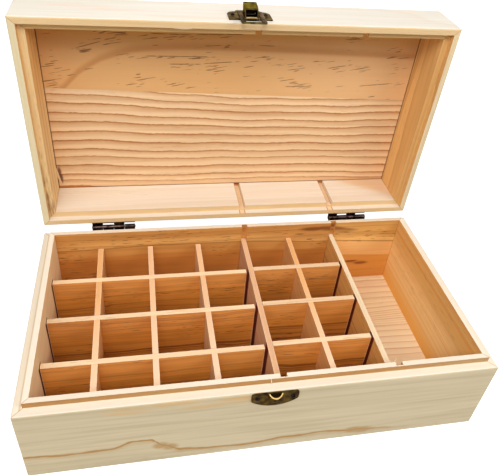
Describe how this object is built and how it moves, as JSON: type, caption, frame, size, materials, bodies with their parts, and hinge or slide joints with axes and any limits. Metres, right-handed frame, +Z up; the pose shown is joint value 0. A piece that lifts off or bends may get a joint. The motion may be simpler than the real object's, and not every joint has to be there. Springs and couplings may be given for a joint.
{
  "type": "wooden storage box",
  "caption": "Shallow hinged wooden storage box with lift-out dividers that part it into small cells, one long compartment and a draw latch on the lid.",
  "frame": {"origin": "centre of the base's flat underside", "axes": "+X along the box's length to the right as seen from the front, +Y from the latch side to the hinges, +Z up; the lid is open at rest"},
  "size_m": [0.331, 0.2306, 0.2624],
  "materials": {
    "pine_case": "bare sanded",
    "pine_panel": "bare sanded",
    "pine_divider": "bare sawn",
    "antique_bronze": "antique bronze plating, semi-gloss",
    "dark_steel": "dark nail head"
  },
  "bodies": {
    "base": {"base_front_board": "pine_case", "base_back_board": "pine_case", "base_left_board": "pine_case", "base_right_board": "pine_case", "base_bottom_panel": "pine_panel", "latch_catch": "antique_bronze", "catch_nails": "dark_steel", "left_hinge_base_leaf": "antique_bronze", "right_hinge_base_leaf": "antique_bronze", "left_hinge_pin": "antique_bronze", "right_hinge_pin": "antique_bronze", "hinge_base_screws": "antique_bronze"},
    "lid": {"lid_front_board": "pine_case", "lid_back_board": "pine_case", "lid_left_board": "pine_case", "lid_right_board": "pine_case", "lid_top_panel": "pine_panel", "left_hinge_lid_leaf": "antique_bronze", "right_hinge_lid_leaf": "antique_bronze", "hinge_lid_screws": "antique_bronze", "latch_plate": "antique_bronze", "latch_plate_nails": "dark_steel", "latch_lever_pin": "antique_bronze"},
    "latch_lever": {"latch_lever": "antique_bronze"},
    "latch_loop": {"latch_loop": "antique_bronze"},
    "left_grid": {"left_long_divider_1": "pine_divider", "left_long_divider_2": "pine_divider", "left_long_divider_3": "pine_divider", "left_cross_divider_1": "pine_divider", "left_cross_divider_2": "pine_divider", "left_cross_divider_3": "pine_divider"},
    "centre_partition": {"centre_partition": "pine_divider"},
    "right_grid": {"right_long_divider_1": "pine_divider", "right_cross_divider_1": "pine_divider", "right_cross_divider_2": "pine_divider", "right_cross_divider_3": "pine_divider"},
    "end_partition": {"end_partition": "pine_divider"}
  },
  "joints": [
    {"name": "lid_hinge", "type": "hinge", "parent": "base", "child": "lid", "pos_m": [0, 0.09345, 0.0696], "axis": [-1, 0, 0], "range_deg": [-88.8, 0]},
    {"name": "lever_pivot", "type": "hinge", "parent": "lid", "child": "latch_lever", "pos_m": [0, 0.09359, 0.25394], "axis": [1, 0, 0], "range_deg": [0, 95]},
    {"name": "loop_pivot", "type": "hinge", "parent": "latch_lever", "child": "latch_loop", "pos_m": [0, 0.10116, 0.2555], "axis": [1, 0, 0], "range_deg": [-95, 0]},
    {"name": "left_grid_lift", "type": "slide", "parent": "base", "child": "left_grid", "axis": [0, 0, 1], "range_m": [0, 0.072]},
    {"name": "centre_partition_lift", "type": "slide", "parent": "base", "child": "centre_partition", "axis": [0, 0, 1], "range_m": [0, 0.072]},
    {"name": "right_grid_lift", "type": "slide", "parent": "base", "child": "right_grid", "axis": [0, 0, 1], "range_m": [0, 0.072]},
    {"name": "end_partition_lift", "type": "slide", "parent": "base", "child": "end_partition", "axis": [0, 0, 1], "range_m": [0, 0.072]}
  ],
  "couplings": [
    {"joint": "loop_pivot", "follows": "lever_pivot", "ratio": -1}
  ]
}
